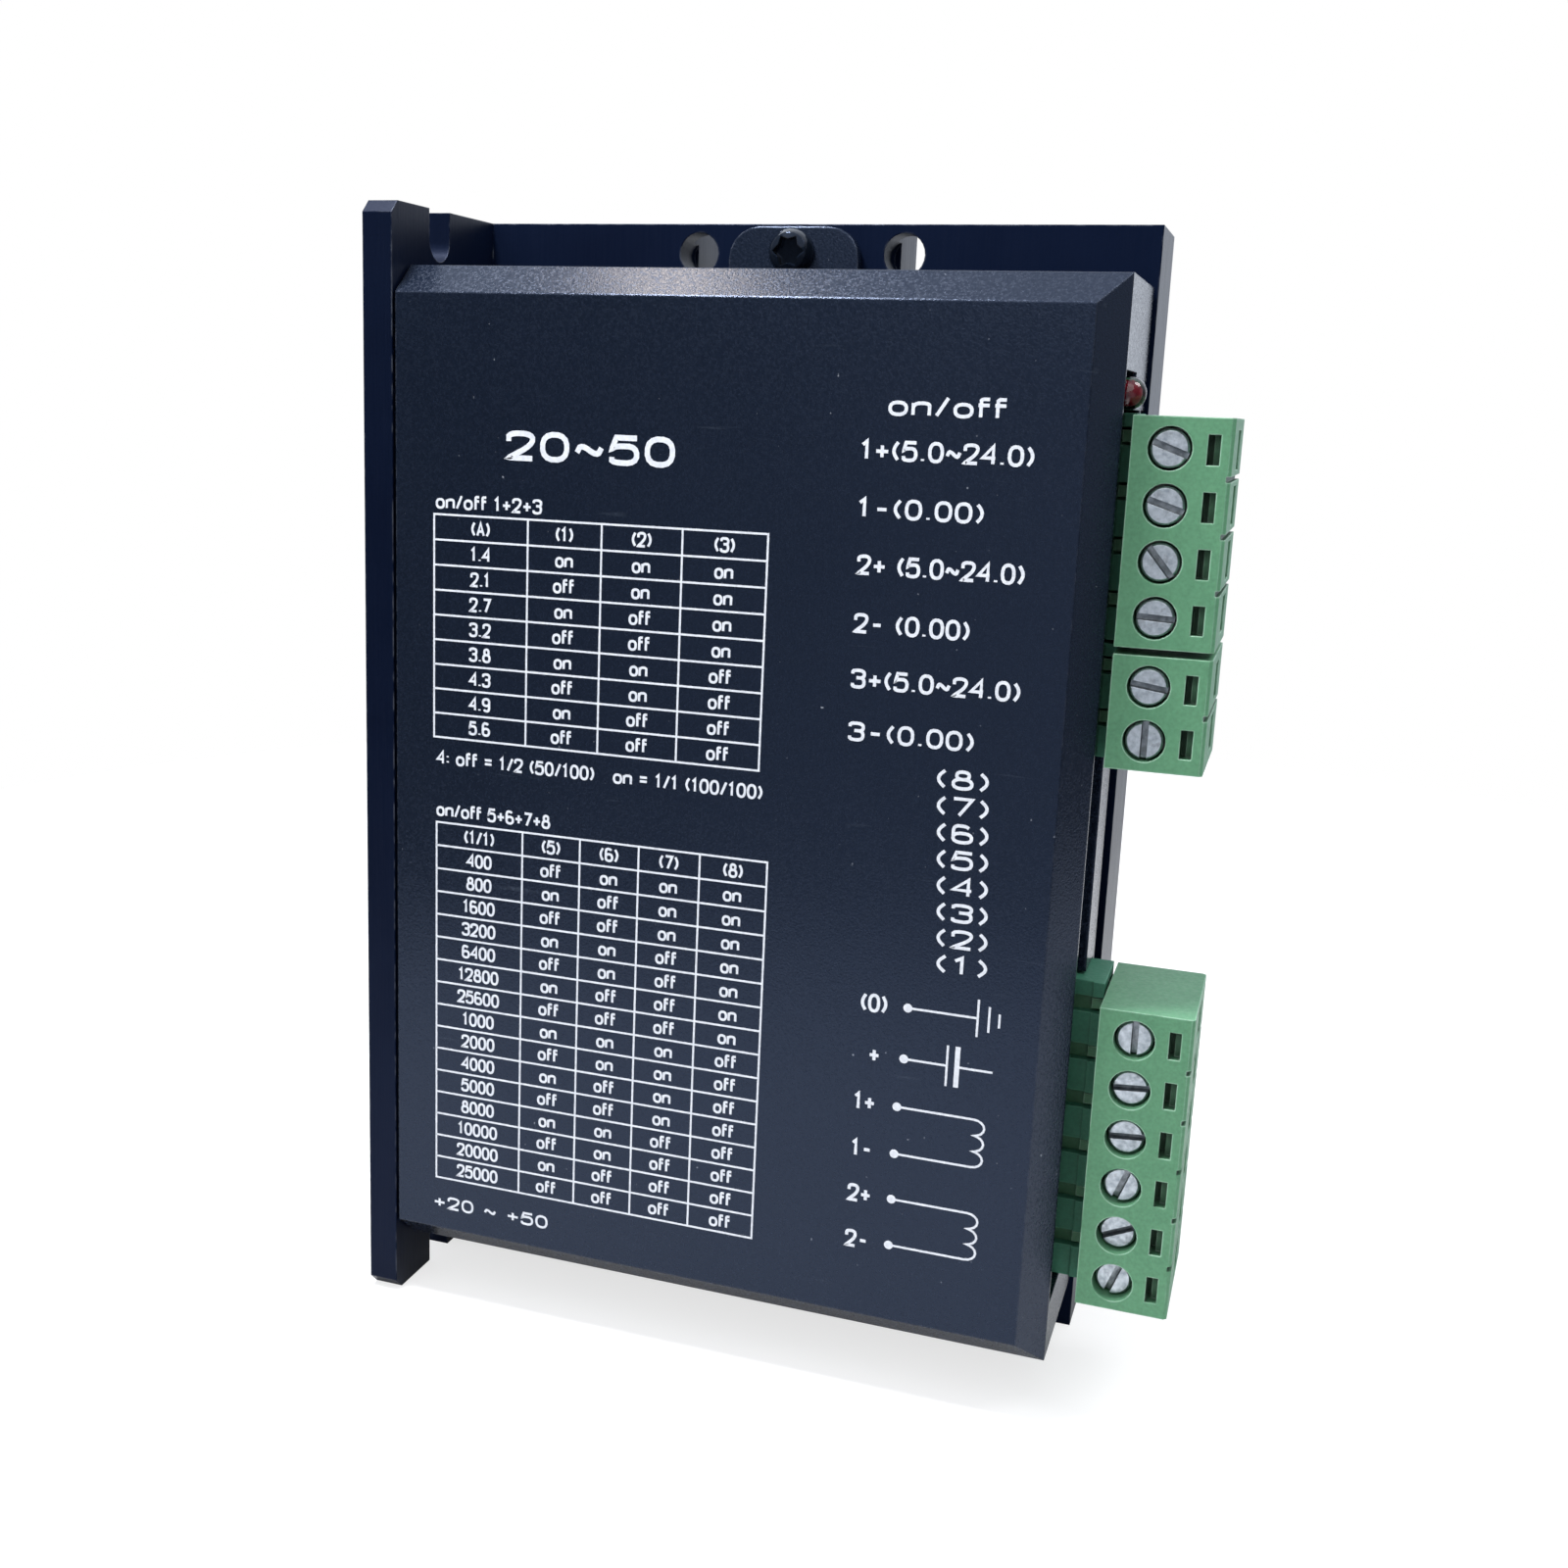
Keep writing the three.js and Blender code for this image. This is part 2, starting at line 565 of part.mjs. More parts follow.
function plug(connector) {
  const x = connector.plugX;
  const right = x + PLUG_WIDTH;
  const [last, first] = [lastZ(connector), connector.firstZ];
  const outline = [
    [x, PLUG_FRONT], [right - PLUG_BEVEL, PLUG_FRONT], [right, PLUG_FRONT + PLUG_BEVEL],
    [right, PLUG_BACK - PLUG_BEVEL], [right - PLUG_BEVEL, PLUG_BACK], [x, PLUG_BACK],
  ];
  const body = solid(prismZ(outline, [last - PLUG_END, first + PLUG_END]));
  const nose = block([x - NOSE_LENGTH, x + OVERLAP], NOSE_Y, [last - NOSE_END, first + NOSE_END]);
  const grooves = wayZs(connector).slice(1).map((z) => block(
    [right - WAY_GROOVE.depth, right + 1], [PLUG_FRONT - 1, PLUG_BACK + 1],
    centred(z + PITCH / 2, WAY_GROOVE.width)));
  const ribs = wayZs(connector).map((z) => block([x - KEY_RIB.length, x + OVERLAP],
    [KEY_RIB.front, NOSE_Y[0] + OVERLAP], centred(z + KEY_RISE, KEY_RIB.width)));
  const openings = wayZs(connector).flatMap((z) => wayOpenings(x, z));
  return cut(join(body, [nose, ...ribs]), [...grooves, ...openings]);
}

// A clamp screw: a slotted head in its bore, and a plain shank into the cage.
function clampScrew(x, z, slotDegrees, inset) {
  const face = HEAD_FRONT + inset;
  const under = face + HEAD_HEIGHT;
  const profile = [
    [0, face], [HEAD_R - HEAD_BEVEL, face], [HEAD_R, face + HEAD_BEVEL],
    [HEAD_R, under], [SHANK_R, under], [SHANK_R, SHANK_END], [0, SHANK_END],
  ];
  const slot = block([-HEAD_R - 1, HEAD_R + 1], [face - 1, face + SLOT_DEPTH],
    [-SLOT_WIDTH / 2, SLOT_WIDTH / 2]);
  slot.rotateY(-THREE.MathUtils.degToRad(slotDegrees));
  return geometryOf(cut(solid(turnedY(profile, 0, 0, FINE)), [slot])).translate(x, 0, z);
}

// A clamp cage: a square tube around the wire's path, with a hole for the screw's shank.
function wireClamp(x, z) {
  const { halfX, halfZ, y, wall, holeR } = CAGE;
  const outer = solid(block(centred(x, 2 * halfX), y, centred(z, 2 * halfZ)));
  return cut(outer, [
    block(centred(x, 2 * halfX + 2), [y[0] + wall, y[1] - wall], centred(z, 2 * (halfZ - wall / 2))),
    rodY(holeR, [y[0] - 1, y[0] + wall + OVERLAP], x, z),
  ]);
}

let way = 0;
for (const connector of CONNECTORS) {
  addPiece(`${connector.name}_header`, header(connector), 'header');
  addPiece(`${connector.name}_plug`, plug(connector), 'terminal');
  for (const z of wayZs(connector)) {
    const x = connector.plugX + PLUG_SCREW_X;
    const screw = clampScrew(x, z, SLOT_ANGLES[way], HEAD_INSETS[way]);
    way += 1;
    addPiece(`clamp_screw_${way}`, screw, 'steel');
    addPiece(`wire_clamp_${way}`, wireClamp(x, z), 'brass');
  }
}

export default driver;
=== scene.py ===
"""Looks for the stepper motor driver: finishes for every CAD piece, the cover's screen print,
the header pins, the status light's core, a pale floor, soft light and the camera.

Lengths are in millimetres from the outer front corner of the heat sink's bottom end
(x to the right, y to the back, z up), and at() turns them into the frame's metres.
"""
import json
import math

import bmesh
import bpy
from mathutils import Matrix, Vector


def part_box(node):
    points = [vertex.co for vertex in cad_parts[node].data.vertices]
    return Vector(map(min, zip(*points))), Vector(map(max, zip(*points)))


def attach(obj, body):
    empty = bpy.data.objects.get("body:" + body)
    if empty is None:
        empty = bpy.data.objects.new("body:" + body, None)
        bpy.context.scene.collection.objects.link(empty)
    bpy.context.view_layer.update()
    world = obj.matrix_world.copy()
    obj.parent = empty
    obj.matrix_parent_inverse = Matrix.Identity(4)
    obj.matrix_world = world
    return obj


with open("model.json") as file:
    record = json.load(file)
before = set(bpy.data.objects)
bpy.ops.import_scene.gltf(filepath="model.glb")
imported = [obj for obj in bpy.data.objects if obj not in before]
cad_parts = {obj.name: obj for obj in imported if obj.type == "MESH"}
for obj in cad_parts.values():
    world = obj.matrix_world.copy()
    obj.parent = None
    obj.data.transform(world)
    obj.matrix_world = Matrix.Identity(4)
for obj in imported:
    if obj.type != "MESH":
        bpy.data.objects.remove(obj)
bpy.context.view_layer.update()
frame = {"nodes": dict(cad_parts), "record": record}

MM = 0.001
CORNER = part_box("heat_sink")[0]


def at(x, y, z):
    """A point given in millimetres from the heat sink's corner, in the frame's metres."""
    return CORNER + Vector((x, y, z)) * MM


# ------------------------------------------------------------------- node helpers

BEVEL_SAMPLES = 6
# A Mix node's factor, its two colours and its result, which share their names with other sockets.
MIX_FACTOR, MIX_A, MIX_B, MIX_RESULT = 0, 6, 7, 2
# Where each mask fades: an edge's wear and painted highlight by the turn of its normal, the painted
# shade in a groove by how open it is, and an upright face by the square of its normal's height.
EDGE_FADE = (0.8, 0.985)
PAINTED_SHADE_FADE = (0.3, 0.85)
UPRIGHT_FADE = (0.9, 0.97)


class Shader:
    """A Principled material under construction, with short calls for the nodes it needs."""

    def __init__(self, name, **sockets):
        self.material = bpy.data.materials.new(name)
        self.material.use_nodes = True
        self.tree = self.material.node_tree
        self.principled = self.tree.nodes["Principled BSDF"]
        self.coords = self.tree.nodes.new("ShaderNodeTexCoord").outputs["Object"]
        self.geometry = self.tree.nodes.new("ShaderNodeNewGeometry")
        for socket, value in sockets.items():
            self.principled.inputs[socket.replace("_", " ")].default_value = value

    def link(self, output, node, socket):
        """Links an output to a node's socket, given by name or number."""
        self.tree.links.new(output, node.inputs[socket])

    def put(self, value, node, socket):
        """Links a socket, or sets a plain value."""
        if isinstance(value, bpy.types.NodeSocket):
            self.link(value, node, socket)
        else:
            node.inputs[socket].default_value = value

    def noise(self, size, detail=2.0, stretch=(1, 1, 1)):
        """Noise whose features are about size millimetres across, longer where stretched."""
        mapping = self.tree.nodes.new("ShaderNodeMapping")
        mapping.inputs["Scale"].default_value = [1 / s for s in stretch]
        self.link(self.coords, mapping, "Vector")
        node = self.tree.nodes.new("ShaderNodeTexNoise")
        node.inputs["Scale"].default_value = 1 / (size * MM)
        node.inputs["Detail"].default_value = detail
        self.link(mapping.outputs["Vector"], node, "Vector")
        return node.outputs["Fac"]

    def ramp(self, value, low, high, start=0.3, end=0.7):
        """Value turned into a colour or a number between two ends."""
        node = self.tree.nodes.new("ShaderNodeValToRGB")
        stops = node.color_ramp.elements
        stops[0].position, stops[1].position = start, end
        stops[0].color = low if isinstance(low, tuple) else (low, low, low, 1)
        stops[1].color = high if isinstance(high, tuple) else (high, high, high, 1)
        self.link(value, node, "Fac")
        return node.outputs["Color"]

    def mix(self, factor, a, b, blend="MIX"):
        """Two colours mixed; each is a socket or a tuple, and the factor a socket or a number."""
        node = self.tree.nodes.new("ShaderNodeMix")
        node.data_type = "RGBA"
        node.blend_type = blend
        for index, value in ((MIX_FACTOR, factor), (MIX_A, a), (MIX_B, b)):
            self.put(value, node, index)
        return node.outputs[MIX_RESULT]

    def times(self, a, b):
        """The product of two numbers; each is a socket or a plain value."""
        node = self.tree.nodes.new("ShaderNodeMath")
        node.operation = "MULTIPLY"
        self.put(a, node, 0)
        self.put(b, node, 1)
        return node.outputs[0]

    def round_normal(self, radius):
        """The normal of a surface whose sharp edges are rounded by radius millimetres."""
        node = self.tree.nodes.new("ShaderNodeBevel")
        node.samples = BEVEL_SAMPLES
        node.inputs["Radius"].default_value = radius * MM
        return node.outputs["Normal"]

    def edges(self, reach, patch=1.2, start=0.42, end=0.6):
        """White nearer to an edge than reach millimetres, broken into patches: edge wear with a
        painted edge highlight.
        """
        node = self.tree.nodes.new("ShaderNodeVectorMath")
        node.operation = "DOT_PRODUCT"
        self.link(self.round_normal(reach), node, 0)
        self.link(self.geometry.outputs["Normal"], node, 1)
        near = self.ramp(node.outputs["Value"], 1.0, 0.0, *EDGE_FADE)
        return self.times(near, self.ramp(self.noise(patch, detail=4), 0.0, 1.0, start, end))

    def painted_shade(self, reach, floor=0.25):
        """Painted shade: darker in corners and grooves narrower than reach millimetres, white
        elsewhere.
        """
        node = self.tree.nodes.new("ShaderNodeAmbientOcclusion")
        node.samples = BEVEL_SAMPLES
        node.only_local = True
        node.inputs["Distance"].default_value = reach * MM
        return self.ramp(node.outputs["AO"], floor, 1.0, *PAINTED_SHADE_FADE)

    def ends(self):
        """White on the faces that look straight up or down."""
        node = self.tree.nodes.new("ShaderNodeSeparateXYZ")
        self.link(self.geometry.outputs["Normal"], node, "Vector")
        square = self.times(node.outputs["Z"], node.outputs["Z"])
        return self.ramp(square, 0.0, 1.0, *UPRIGHT_FADE)

    def color(self, socket):
        """Sets the surface's colour."""
        self.link(socket, self.principled, "Base Color")

    def roughness(self, socket):
        """Sets the surface's roughness."""
        self.link(socket, self.principled, "Roughness")

    def bump(self, edge, *layers):
        """Edges rounded by edge mm under stacked bumps, each a (height socket, depth in mm)."""
        previous = self.round_normal(edge)
        for height, depth in layers:
            node = self.tree.nodes.new("ShaderNodeBump")
            node.inputs["Distance"].default_value = depth * MM
            self.link(height, node, "Height")
            self.link(previous, node, "Normal")
            previous = node.outputs["Normal"]
        self.link(previous, self.principled, "Normal")


# ---------------------------------------------------------------------- materials


def anodised():
    """Black anodised extrusion: fine lines along its length, edges paler from scuffs and a painted
    highlight, and sawn ends.
    """
    s = Shader("anodised", Specular_IOR_Level=0.4, Specular_Tint=(0.04, 0.08, 0.22, 1))
    lines = s.noise(0.12, detail=3, stretch=(1, 1, 60))
    dyed = s.mix(s.noise(9, detail=3), (0.0012, 0.0027, 0.0092, 1), (0.0026, 0.0052, 0.0155, 1))
    saw = s.noise(0.2, detail=3, stretch=(9, 1, 1))
    sawn = s.ramp(saw, (0.004, 0.006, 0.012, 1), (0.05, 0.053, 0.062, 1), start=0.46, end=0.74)
    skin = s.mix(s.ends(), dyed, sawn)
    # Paler edges: scuffs with a painted edge highlight.
    scuffed_and_highlit = s.edges(0.3, patch=1.6, start=0.46, end=0.62)
    s.color(s.mix(scuffed_and_highlit, skin, (0.07, 0.078, 0.095, 1)))
    s.roughness(s.ramp(lines, 0.3, 0.42))
    s.bump(0.18, (lines, 0.01), (s.noise(0.25, detail=2), 0.006))
    return s.material


def cover_plastic():
    """Moulded blue-black plastic with a fine spark-eroded grain, pale specks, a few scuffs and edges
    paler from wear and a painted highlight.
    """
    s = Shader("cover_plastic", Specular_Tint=(0.45, 0.57, 0.87, 1))
    grain = s.noise(0.2, detail=2)
    base = s.mix(s.noise(14, detail=4), (0.0026, 0.0048, 0.0105, 1), (0.0044, 0.007, 0.014, 1))
    shade = s.ramp(grain, 0.88, 1.12, start=0.35, end=0.65)
    grained = s.mix(1.0, base, shade, "MULTIPLY")
    specks = s.ramp(s.noise(0.55, detail=1), 0.0, 0.6, start=0.8, end=0.86)
    scuffs = s.ramp(s.noise(2.2, detail=5, stretch=(6, 1, 0.5)), 0.0, 0.22, start=0.7, end=0.82)
    marked = s.mix(specks, s.mix(scuffs, grained, (0.1, 0.12, 0.15, 1)), (0.3, 0.32, 0.36, 1))
    # Paler edges: wear with a painted edge highlight.
    s.color(s.mix(s.times(s.edges(0.3, patch=1.0), 0.3), marked, (0.12, 0.13, 0.16, 1)))
    s.roughness(s.ramp(s.noise(0.3, detail=2), 0.13, 0.29, start=0.38, end=0.62))
    s.bump(0.3, (grain, 0.02))
    return s.material


def terminal_plastic(name, dark, light, pale, roughness):
    """Satin moulded polyamide, a little cloudy, with a faint grain, edges paler from rubbing and a
    painted highlight, and painted shade in its wells.
    """
    s = Shader(name, Specular_IOR_Level=0.2, Subsurface_Weight=0.08,
               Subsurface_Radius=(0.4, 1, 0.7), Subsurface_Scale=0.4 * MM)
    base = s.mix(s.noise(3.5, detail=4), dark, light)
    fine = s.ramp(s.noise(0.35, detail=3), 0.9, 1.1)
    grained = s.mix(1.0, base, fine, "MULTIPLY")
    # Paler edges: rubbing wear with a painted edge highlight.
    rubbed_and_highlit = s.times(s.edges(0.26, patch=2.5, start=0.3, end=0.5), 0.9)
    worn_and_highlit = s.mix(rubbed_and_highlit, grained, pale)
    # Painted shade darkens the wells and other hollows.
    s.color(s.mix(1.0, worn_and_highlit, s.painted_shade(1.4, floor=0.3), "MULTIPLY"))
    s.roughness(s.ramp(s.noise(0.5, detail=3), roughness - 0.06, roughness + 0.08))
    s.bump(0.2, (s.noise(0.18, detail=2), 0.01), (s.noise(1.5, detail=2), 0.02))
    return s.material


def turned_steel():
    """Zinc plated screw metal: dull spots, fine scratches, stains, and painted shade darkening its
    slot and hollows.
    """
    s = Shader("turned_steel", Metallic=1.0)
    scratches = s.noise(0.09, detail=4, stretch=(7, 1, 1.2))
    spots = s.noise(0.5, detail=4)
    stains = s.ramp(s.noise(0.8, detail=3), 0.0, 0.5, start=0.56, end=0.7)
    plating = s.mix(s.ramp(spots, 0.0, 1.0), (0.28, 0.315, 0.35, 1), (0.5, 0.54, 0.58, 1))
    stained = s.mix(stains, plating, (0.17, 0.18, 0.19, 1))
    # Painted shade darkens the slot and other hollows.
    s.color(s.mix(1.0, stained, s.painted_shade(0.9, floor=0.4), "MULTIPLY"))
    s.roughness(s.ramp(spots, 0.52, 0.32))
    s.bump(0.08, (scratches, 0.014), (spots, 0.02))
    return s.material


def plated(name, dark, light, roughness):
    """Stamped or turned metal with a plated skin."""
    s = Shader(name, Metallic=1.0)
    spots = s.noise(0.7, detail=3)
    s.color(s.mix(spots, dark, light))
    s.roughness(s.ramp(spots, roughness - 0.08, roughness + 0.1))
    s.bump(0.06, (s.noise(0.15, detail=2), 0.006))
    return s.material


def black_screw():
    """Black zinc on a rolled head, glossy and a little uneven."""
    s = Shader("black_screw", Specular_IOR_Level=0.35, Specular_Tint=(0.07, 0.14, 0.32, 1),
               Coat_Weight=0.15, Coat_Roughness=0.04)
    s.color(s.mix(s.noise(0.6, detail=3), (0.001, 0.002, 0.004, 1), (0.004, 0.006, 0.01, 1)))
    s.roughness(s.ramp(s.noise(0.4, detail=3), 0.06, 0.12))
    s.bump(0.2, (s.noise(0.5, detail=2), 0.02))
    return s.material


def plain_plastic(name, dark, light, roughness, grain=0.01):
    """Dull moulded plastic or resin for the small components."""
    s = Shader(name, Specular_IOR_Level=0.4)
    s.color(s.mix(s.noise(1.2, detail=4), dark, light))
    s.roughness(s.ramp(s.noise(0.4, detail=2), roughness - 0.05, roughness + 0.1))
    s.bump(0.08, (s.noise(0.12, detail=2), grain))
    return s.material


def light_resin():
    """Clear resin with a faint red haze, which shows the core inside."""
    s = Shader("light_resin", IOR=1.5, Transmission_Weight=1.0, Specular_IOR_Level=0.3)
    s.color(s.mix(s.noise(1.4, detail=2), (0.93, 0.62, 0.62, 1), (0.97, 0.8, 0.78, 1)))
    s.roughness(s.ramp(s.noise(0.8, detail=2), 0.01, 0.03))
    s.bump(0.1, (s.noise(0.5, detail=1), 0.004))
    return s.material


def light_core():
    """The unlit red filling at the heart of the status light."""
    s = Shader("light_core", Specular_IOR_Level=0.1)
    s.color(s.mix(s.noise(0.8, detail=2), (0.09, 0.0006, 0.007, 1), (0.18, 0.0015, 0.014, 1)))
    s.roughness(s.ramp(s.noise(0.5, detail=2), 0.4, 0.6))
    s.bump(0.05, (s.noise(0.3, detail=1), 0.01))
    return s.material


def solder_mask():
    """Green solder mask over copper tracks that show as slightly raised, lighter bands."""
    s = Shader("solder_mask", Specular_IOR_Level=0.6, Coat_Weight=0.3)
    tracks = s.ramp(s.noise(2.2, detail=1, stretch=(1, 1, 5)), 0.0, 1.0, start=0.5, end=0.54)
    s.color(s.mix(tracks, (0.008, 0.07, 0.03, 1), (0.02, 0.13, 0.05, 1)))
    s.roughness(s.ramp(s.noise(0.8, detail=2), 0.25, 0.4))
    s.bump(0.05, (tracks, 0.03))
    return s.material


def ink():
    """White screen print with slightly uneven cover."""
    s = Shader("ink", Specular_IOR_Level=0.3)
    s.color(s.mix(s.noise(0.35, detail=3), (0.42, 0.44, 0.48, 1), (0.72, 0.74, 0.79, 1)))
    s.roughness(s.ramp(s.noise(0.3, detail=2), 0.5, 0.7))
    s.bump(0.01, (s.noise(0.15, detail=2), 0.006))
    return s.material


MATERIALS = {
    "anodised": anodised(),
    "cover": cover_plastic(),
    "black_screw": black_screw(),
    "board": solder_mask(),
    "header": terminal_plastic(
        "header_plastic", (0.03, 0.13, 0.08, 1), (0.045, 0.165, 0.105, 1),
        (0.09, 0.25, 0.17, 1), 0.5),
    "terminal": terminal_plastic(
        "terminal_plastic", (0.072, 0.195, 0.108, 1), (0.098, 0.24, 0.134, 1),
        (0.36, 0.55, 0.42, 1), 0.44),
    "switch": plain_plastic(
        "switch_plastic", (0.01, 0.01, 0.012, 1), (0.02, 0.02, 0.022, 1), 0.45),
    "lever": plain_plastic("lever_plastic", (0.7, 0.7, 0.68, 1), (0.82, 0.82, 0.8, 1), 0.45),
    "light": light_resin(),
    "steel": turned_steel(),
    "clamp": plated("nickel", (0.42, 0.41, 0.39, 1), (0.62, 0.6, 0.57, 1), 0.34),
    "brass": plated("brass", (0.4, 0.27, 0.1, 1), (0.6, 0.43, 0.19, 1), 0.36),
    "chip": plain_plastic(
        "chip_resin", (0.012, 0.012, 0.013, 1), (0.024, 0.024, 0.026, 1), 0.6),
    "sleeve": plain_plastic(
        "sleeve_film", (0.01, 0.018, 0.06, 1), (0.015, 0.028, 0.085, 1), 0.3),
    "pad": plain_plastic(
        "pad_silicone", (0.36, 0.38, 0.41, 1), (0.46, 0.48, 0.5, 1), 0.8, grain=0.03),
    "print": ink(),
}

# ------------------------------------------------------------ finish on CAD nodes

SHARP = math.radians(32)
WELD = 0.001


def shading_tool():
    """A node group that shades a mesh smooth, but keeps its sharp edges sharp."""
    tool = bpy.data.node_groups.new("smooth_by_angle", "GeometryNodeTree")
    for in_out in ("INPUT", "OUTPUT"):
        tool.interface.new_socket("Geometry", in_out=in_out, socket_type="NodeSocketGeometry")
    start = tool.nodes.new("NodeGroupInput")
    angle = tool.nodes.new("GeometryNodeInputMeshEdgeAngle")
    gentle = tool.nodes.new("FunctionNodeCompare")
    gentle.operation = "LESS_THAN"
    gentle.inputs["B"].default_value = SHARP
    edges = tool.nodes.new("GeometryNodeSetShadeSmooth")
    edges.domain = "EDGE"
    faces = tool.nodes.new("GeometryNodeSetShadeSmooth")
    end = tool.nodes.new("NodeGroupOutput")
    for output, socket in (
        (start.outputs[0], edges.inputs["Geometry"]),
        (angle.outputs["Unsigned Angle"], gentle.inputs["A"]),
        (gentle.outputs[0], edges.inputs["Shade Smooth"]),
        (edges.outputs[0], faces.inputs["Geometry"]),
        (faces.outputs[0], end.inputs[0]),
    ):
        tool.links.new(output, socket)
    return tool


SMOOTHING = shading_tool()


def dress(node, slot):
    """Gives a CAD node its material and smooth shading on its curved faces."""
    for material_slot in node.material_slots:
        material_slot.link = "OBJECT"
        material_slot.material = MATERIALS[slot]
    weld = node.modifiers.new("weld", "WELD")
    weld.merge_threshold = WELD * MM
    node.modifiers.new("shading", "NODES").node_group = SMOOTHING


for part in frame["record"]["subparts"]:
    dress(frame["nodes"][part["node"]], part["material_slot"])


def add_object(name, mesh, material):
    """A new object in the scene, made from a bmesh that is done with."""
    data = bpy.data.meshes.new(name)
    mesh.to_mesh(data)
    mesh.free()
    data.materials.append(material)
    thing = bpy.data.objects.new(name, data)
    bpy.context.scene.collection.objects.link(thing)
    return thing


# ------------------------------------------------------------------- screen print

INK_HEIGHT = 0.02
# Each stroke and each point along it takes one of a few heights, so crossings don't coincide.
INK_STEP = 0.003
INK_LEVELS = 3
# The cosine of half a corner's turn below which its mitre grows no longer.
MITRE_LIMIT = 0.5
RULE = 0.2
FRONT_Y = (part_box("cover")[0] - CORNER).y / MM

# Strokes of each sign on a grid 6 wide and 9 high, as pairs of digits: x then y.
# s is straight, c is curved and o is a closed curve. A pair given twice stays a sharp corner.
SIGNS = {
    "0": ["o 00 09 69 60"],
    "1": ["s 17 39 30"],
    "2": ["c 06 09 69 65 00 00 60"],
    "3": ["c 07 09 69 65 25", "c 25 65 60 00 02"],
    "4": ["s 50 59 03 63"],
    "5": ["c 69 19 19 05 05 16 66 60 00 02"],
    "6": ["o 00 05 65 60", "c 58 49 09 03"],
    "7": ["s 09 69 20"],
    "8": ["o 15 19 59 55", "o 00 05 65 60"],
    "9": ["o 04 09 69 64", "c 66 60 20 11"],
    "A": ["s 00 39 60", "s 13 53"],
    "o": ["o 00 06 66 60"],
    "n": ["s 00 06", "c 04 16 66 63 60"],
    "f": ["c 59 29 27 20", "s 16 56"],
    ".": ["s 30 31"],
    ":": ["s 31 32", "s 35 36"],
    "+": ["s 31 37", "s 04 64"],
    "-": ["s 14 54"],
    "=": ["s 03 63", "s 06 66"],
    "~": ["c 03 16 52 65"],
    "(": ["c 49 26 23 40"],
    ")": ["c 29 46 43 20"],
    "/": ["s 10 59"],
    " ": [],
}
GRID = (6, 9)
# Room that a sign takes along its line, as a share of a digit's.
ROOM = {".": 0.5, ":": 0.5, "(": 0.6, ")": 0.6, "f": 0.7, "/": 0.8, " ": 0.6, "1": 0.8}
# The share of its room that a digit fills, and the room as a share of its height.
FILL = 0.7
PITCH = 0.8
# How often corners are cut, and where along each side.
CORNER_CUTS = 2
CUT_AT = (0.25, 0.75)
DOT_STEPS = 16


def rounded(points, closed):
    """The line of points with its corners cut a few times, which makes it a curve."""
    for _ in range(CORNER_CUTS):
        pairs = list(zip(points, points[1:]))
        if closed:
            pairs.append((points[-1], points[0]))
        cut = [start.lerp(end, t) for start, end in pairs for t in CUT_AT]
        points = cut if closed else [points[0], *cut, points[-1]]
    return [p for p, q in zip(points, points[1:]) if p != q] + points[-1:]


def line_room(words):
    """The length of a line of print, where a digit's room is 1."""
    return sum(ROOM.get(sign, 1) for sign in words) + FILL - 1


